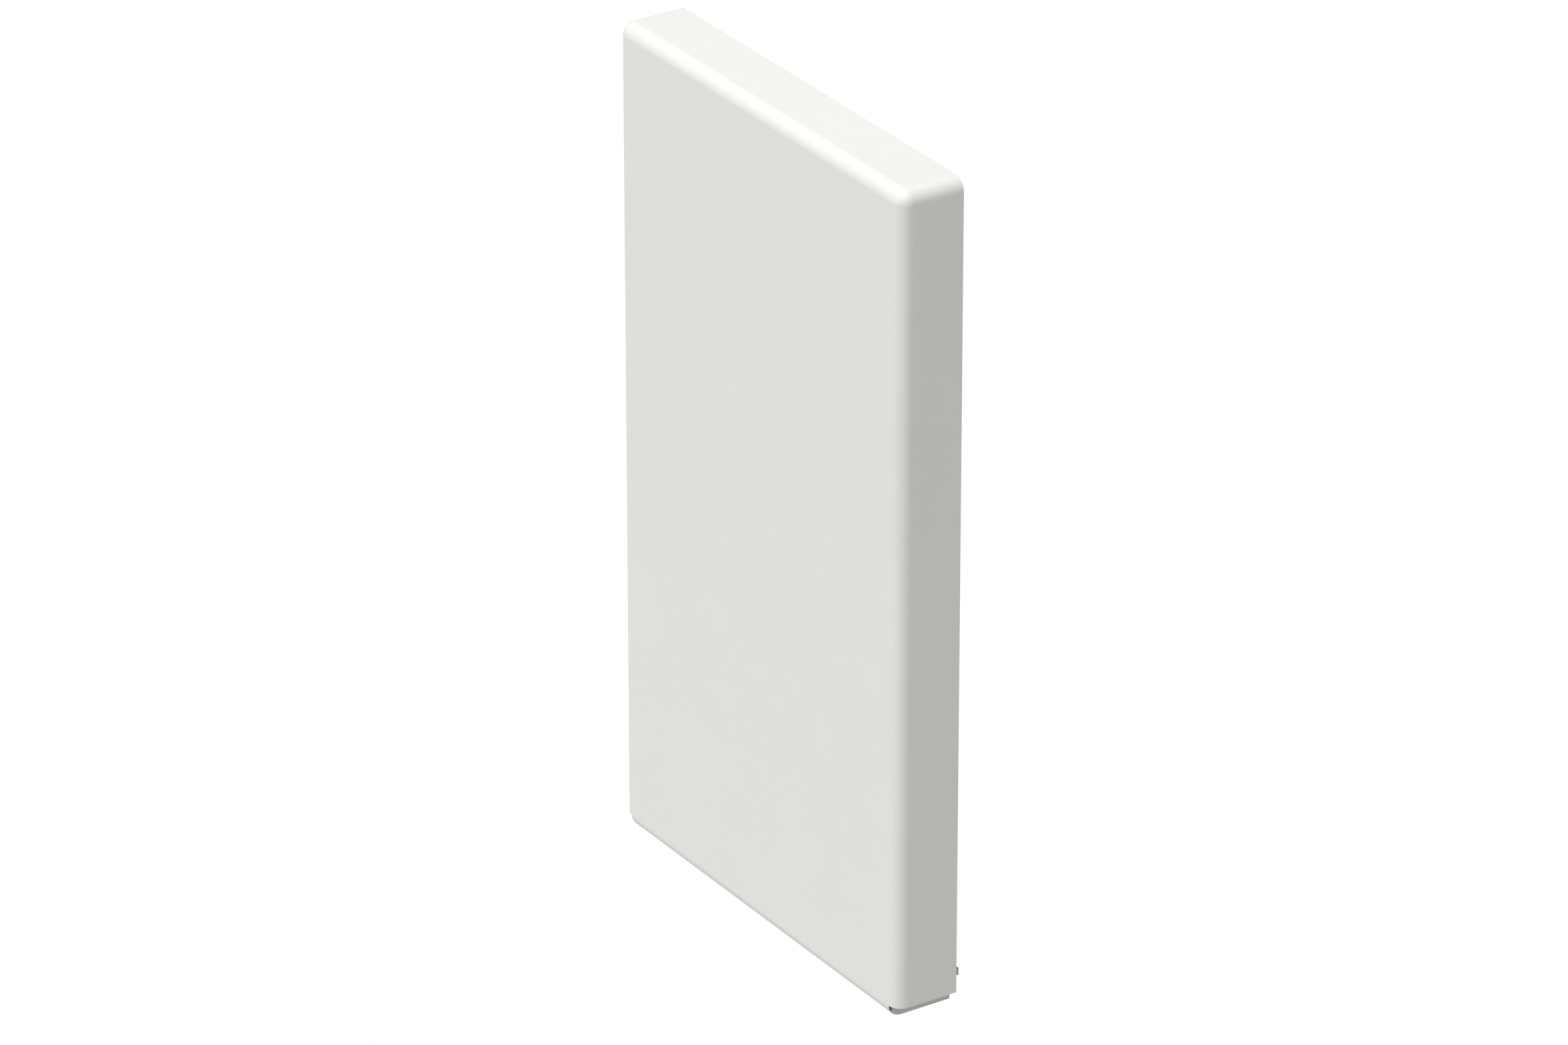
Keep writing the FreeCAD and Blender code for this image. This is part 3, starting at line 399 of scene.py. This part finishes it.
def gland_rows(radius, length):
    """From the cable mouth up: ribbed dome nut, hexagon flange, threaded neck; bored through."""
    mouth = radius * 0.367
    neck = radius * 0.667
    root = neck * 0.93
    floor = length * 0.632
    flange = floor - length * 0.158
    ribs = fluted(18, 0.06)
    dome = ((0.58, 0.02), (0.7, 0.11), (0.86, 0.27), (0.93, 0.4))
    turns = 9
    rows = [(mouth, 0), (mouth * 1.25, 0)]
    rows += [(radius * width, length * rise, ribs) for width, rise in dome]
    rows += [(radius * 0.93, flange - 1.2 * MM, ribs), (radius * 0.84, flange)]
    rows += [(radius * 0.97, flange, hex_shape), (radius, flange + 0.5 * MM, hex_shape)]
    rows += [(radius, floor - 0.3 * MM, hex_shape), (radius * 0.98, floor, hex_shape), (neck, floor)]
    rows += ridges(floor, (length - floor) / turns, turns, (neck, 0.25), (root, 0.6))
    return rows + [(root, length), (mouth, length)]


def nut_rows(radius, length):
    """Hexagon lock nut with bevelled corners and its bore."""
    bore = radius * 0.68
    rim = radius * 0.93
    flats = [(radius, length * 0.15, hex_shape), (radius, length * 0.85, hex_shape)]
    return [(bore, 0), (rim, 0)] + flats + [(rim, length), (bore, length)]


def plug_rows(radius, length):
    """Blanking plug: dished head with a rounded rim, then its stem with a bevelled end."""
    head = 2
    stem = radius * 0.707
    rows = scaled(radius, ((0, 0.6), (0.4, 0.6), (0.47, 0.1), (0.8, 0), (0.97, 0.6), (1, 1.4), (1, head)))
    return rows + [(stem, head * MM), (stem, length - MM), (stem * 0.85, length), (0, length)]


def stud_rows(radius, length):
    """Earth stud: threaded end, hexagon collar under the case floor, hexagon nut above it."""
    thread = radius / 2
    floor = length * 18 / 32
    collar = floor - 5 * MM
    inside = floor + 2 * MM
    pitch = 1.25 * MM
    turns = int(collar / pitch) - 1
    rows = [(0, 0), (thread * 0.8, 0)]
    rows += ridges(0, pitch, turns, (thread * 0.88, 0.4), (thread, 0.9))
    rows += [(thread, collar), (radius * 0.9, collar)]
    rows += [(radius, collar + 0.6 * MM, hex_shape), (radius, floor, hex_shape), (thread, floor)]
    rows += [(thread, inside), (radius, inside, hex_shape), (radius, inside + 4.4 * MM, hex_shape)]
    rows += [(radius * 0.9, inside + 5 * MM), (thread, inside + 5 * MM)]
    return rows + [(thread, length - 0.8 * MM), (thread * 0.8, length), (0, length)]


def vent_rows(radius, length):
    """Breather: cap with a grooved rim and a raised middle, its stem and its hexagon nut."""
    cap = 4
    wall = 2
    nut = 4
    stem = radius * 0.545
    middle = ((0, 0.4), (0.42, 0.4), (0.48, 1.2), (0.7, 1.2), (0.76, 0.2), (0.9, 0))
    rows = scaled(radius, middle) + scaled(radius, ((0.99, 0.8), (1, cap - 0.6)), fluted(12, 0.1))
    rows += [(radius * 0.96, cap * MM), (stem, cap * MM), (stem, (cap + wall) * MM)]
    rows += scaled(radius, ((1, cap + wall), (1, cap + wall + nut)), hex_shape)
    return rows + [(stem, (cap + wall + nut) * MM), (stem, length), (0, length)]


def button_rows(radius, length):
    """Plunger with a dished face and a rounded edge."""
    face = ((0, 0.9), (0.35, 0.7), (0.7, 0.2), (0.84, 0), (0.94, 0.3), (0.99, 0.9), (1, 1.5))
    return scaled(radius, face) + [(radius, length - 0.5 * MM), (radius * 0.95, length), (0, length)]


def hatch_screw_rows(radius, length):
    """Screw with a rounded head, a hexagon socket and a threaded shank."""
    head = 2 * MM
    pitch = 0.9 * MM
    shank = radius / 1.9
    turns = int((length - head) / pitch) - 1
    rows = [(0, 1.3 * MM)] + scaled(radius, ((0.42, 1.3), (0.44, 0.12)), hex_shape)
    rows += scaled(radius, ((0.6, 0), (0.85, 0.3), (1, 1.2), (1, 2))) + [(shank, head)]
    rows += ridges(head, pitch, turns, (shank * 0.9, 0.6), (shank, 1))
    return rows + [(shank * 0.8, length), (0, length)]


def rivet_rows(radius, length):
    """Domed rivet head and its shank."""
    shank = radius / 1.9
    rows = scaled(radius, ((0, 0), (0.35, 0.1), (0.7, 0.5), (0.92, 1.2), (1, 1.9), (1, 2)))
    return rows + [(shank, 2 * MM), (shank, length), (0, length)]


def case_screw_rows(radius, length):
    """Countersunk screw with a hexagon socket, its head flush with the plate."""
    shank = radius / 1.9
    rows = [(0, 1.4 * MM)] + scaled(shank, ((0.62, 1.4), (0.64, 0.1)), hex_shape)
    rows += scaled(radius, ((0.97, 0), (1, 0.1))) + [(shank, shank * 0.9)]
    return rows + [(shank, length - 0.5 * MM), (shank * 0.8, length), (0, length)]


def socket_rows(radius, length):
    """Spring socket: a ring with a bevelled mouth and a grooved rim."""
    bore = radius * 0.4125
    grip = fluted(10, 0.05)
    rows = [(bore, 0), (radius * 0.96, 0)]
    rows += [(radius, 0.5 * MM, grip), (radius, length - 0.9 * MM, grip), (radius * 0.9, length)]
    return rows + [(bore * 1.35, length), (bore, length - MM)]


def grip_ring(mesh, top, depth, half_length, half_width):
    """A loop of the knob's grip: an oblong with rounded ends, depth below the top."""
    steps = 48
    squareness = 0.6
    ring = []
    for step in range(steps):
        angle = 2 * math.pi * step / steps
        along, side = [math.copysign(abs(share) ** squareness, share)
                       for share in (math.cos(angle), math.sin(angle))]
        ring.append(mesh.verts.new(top + Vector((along * half_length, side * half_width, -depth))))
    return ring


def build_knob():
    """Isolator knob: fluted disc and a bar grip with rounded edges."""
    low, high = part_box("isolator_knob")
    top = Vector(((low.x + high.x) / 2, (low.y + high.y) / 2, high.z))
    radius = (high.x - low.x) / 2
    tall = high.z - low.z
    disc = tall * 0.3
    rim = fluted(24, 0.07)
    rows = [(0, 0), (radius * 0.93, 0), (radius, 0.8 * MM, rim)]
    rows += [(radius, disc - 1.5 * MM, rim), (radius * 0.94, disc), (0, disc)]
    mesh = bmesh.new()
    turned(mesh, top, DOWN, rows, sides=144)
    levels = ((disc - 0.5 * MM, 1.0), (tall - 3 * MM, 0.98), (tall - MM, 0.93), (tall, 0.8))
    rings = [grip_ring(mesh, top, depth, radius * 0.9 * share, radius * 0.25 * share)
             for depth, share in levels]
    for lower, upper in zip(rings, rings[1:]):
        join_rings(mesh, lower, upper)
    mesh.faces.new(rings[0])
    mesh.faces.new(rings[-1])
    finish_piece(mesh, "knob_with_grip", "isolator_knob", crease=40)


ROUND_PIECES = (
    ("glands_ribbed", "cable_glands", UP, gland_rows),
    ("gland_lock_nuts", "gland_nuts", UP, nut_rows),
    ("blanking_plugs", "gland_plugs", UP, plug_rows),
    ("earth_stud", "ground_stud", UP, stud_rows),
    ("breather", "pressure_vent", UP, vent_rows),
    ("dished_button", "power_button", UP, button_rows),
    ("hatch_screws", "wiring_cover_screws", BACK, hatch_screw_rows),
    ("domed_rivets", "hook_rivets", FRONT, rivet_rows),
    ("countersunk_screws", "case_screws", FRONT, case_screw_rows),
    ("grooved_sockets", "stud_sockets", FRONT, socket_rows),
)


def build_details():
    """Pieces whose shape is finer than their CAD solid."""
    for name, node, toward, make_rows in ROUND_PIECES:
        build_round_pieces(name, node, toward, make_rows)
    build_knob()


# ---------------------------------------------------------------- stage

def floor_material(albedo):
    """Matt pale grey with the faintest clouding."""
    grey = (albedo, albedo, albedo, 1.0)
    graph = Graph("pale_floor")
    graph.colour(graph.ramp(graph.noise(3, 3), tint(grey, 0.99), grey))
    graph.roughness(graph.ramp(graph.noise(5, 2), 0.9, 1.0))
    graph.shade(specular=0.0)
    return graph.material


def build_floor(height, albedo, reach=60):
    """A square floor, reach metres each way."""
    sides = ((-1, -1), (1, -1), (1, 1), (-1, 1))
    mesh = bpy.data.meshes.new("floor")
    mesh.from_pydata([(x * reach, y * reach, height) for x, y in sides], [], [(0, 1, 2, 3)])
    floor = bpy.data.objects.new("floor", mesh)
    bpy.context.scene.collection.objects.link(floor)
    mesh.materials.append(floor_material(albedo))


def build_sun(key, spread):
    """A broad sun; key points towards it and its length is the light that it gives."""
    light = bpy.data.lights.new("key", "SUN")
    light.energy = Vector(key).length * math.pi
    light.angle = math.radians(spread)
    lamp = bpy.data.objects.new("key", light)
    lamp.rotation_euler = Vector(key).to_track_quat("Z", "Y").to_euler()
    bpy.context.scene.collection.objects.link(lamp)


def build_sky(strength):
    """A soft even sky, which the camera sees as a white backdrop."""
    world = bpy.data.worlds.new("sky")
    world.use_nodes = True
    tree = world.node_tree
    soft = tree.nodes["Background"]
    soft.inputs["Color"].default_value = (1, 1, 1, 1)
    soft.inputs["Strength"].default_value = strength
    backdrop = tree.nodes.new("ShaderNodeBackground")
    backdrop.inputs["Color"].default_value = (1, 1, 1, 1)
    chosen = tree.nodes.new("ShaderNodeMixShader")
    rays = tree.nodes.new("ShaderNodeLightPath")
    tree.links.new(rays.outputs["Is Camera Ray"], chosen.inputs["Fac"])
    tree.links.new(soft.outputs["Background"], chosen.inputs[1])
    tree.links.new(backdrop.outputs["Background"], chosen.inputs[2])
    tree.links.new(chosen.outputs["Shader"], tree.nodes["World Output"].inputs["Surface"])
    bpy.context.scene.world = world


def build_camera(cover_low, cover_high):
    """A long lens from the front right, above; lengths are shares of the cover's height."""
    azimuth = math.radians(56.864)
    elevation = math.radians(26.395)
    distance = 9.8939
    aim_across = 0.33441
    aim_up = 0.52227
    height = cover_high.z - cover_low.z
    aim = cover_low + Vector((aim_across, 0, aim_up)) * height
    away = Vector((math.sin(azimuth) * math.cos(elevation), -math.cos(azimuth) * math.cos(elevation),
                   math.sin(elevation)))
    lens = bpy.data.cameras.new("camera")
    lens.sensor_width = 36
    lens.lens = 207.6
    lens.clip_end = 200
    camera = bpy.data.objects.new("camera", lens)
    camera.location = aim + away * distance * height
    camera.rotation_euler = away.to_track_quat("Z", "Y").to_euler()
    bpy.context.scene.collection.objects.link(camera)
    bpy.context.scene.camera = camera


dress_nodes()
build_details()
low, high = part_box("front_cover")
build_floor(height=low.z - 1.0, albedo=0.725)
build_sun(key=(0.0, -0.443, 1.21), spread=20)
build_sky(strength=0.18)
build_camera(low, high)
bpy.context.scene.view_settings.view_transform = "Standard"
